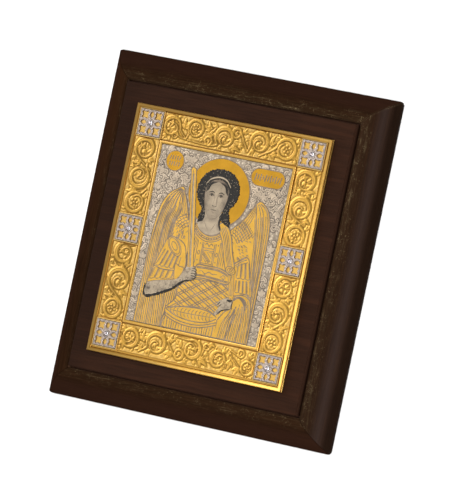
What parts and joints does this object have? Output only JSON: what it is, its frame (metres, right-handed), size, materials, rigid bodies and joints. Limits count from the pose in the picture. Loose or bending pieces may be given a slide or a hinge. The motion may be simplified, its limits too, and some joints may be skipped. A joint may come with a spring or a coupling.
{
  "type": "icon panel",
  "caption": "Icon panel: a gilt plate with an embossed scroll border, silver openwork squares with stones and an engraved winged figure, on a raised board in a dark moulded wooden frame.",
  "frame": {"origin": "centre of the underside of the frame, with the panel lying on its back", "axes": "+Z out of the picture, +Y towards the top of the picture, +X towards its right side"},
  "size_m": [0.2566, 0.2796, 0.0307],
  "materials": {
    "dark_wood": "dark stained, satin, with specks of gold dust on the inner part of the moulding",
    "board_wood": "dark reddish brown, satin, fine grain",
    "gilt": "embossed, bright satin gold plating",
    "engraved_metal": "gold and silver plating with engraved lines",
    "silver": "silver plating, bright edges and darkened hollows",
    "clear_stone": "clear, brilliant cut"
  },
  "bodies": {
    "root": {"rail_top": "dark_wood", "rail_left": "dark_wood", "rail_bottom": "dark_wood", "rail_right": "dark_wood", "board": "board_wood", "border": "gilt", "picture_plate": "engraved_metal", "silver_square_top_left": "silver", "silver_square_top_right": "silver", "silver_square_middle_left": "silver", "silver_square_middle_right": "silver", "silver_square_bottom_left": "silver", "silver_square_bottom_right": "silver", "stone_top_left": "clear_stone", "stone_top_right": "clear_stone", "stone_middle_left": "clear_stone", "stone_middle_right": "clear_stone", "stone_bottom_left": "clear_stone", "stone_bottom_right": "clear_stone"}
  },
  "joints": []
}
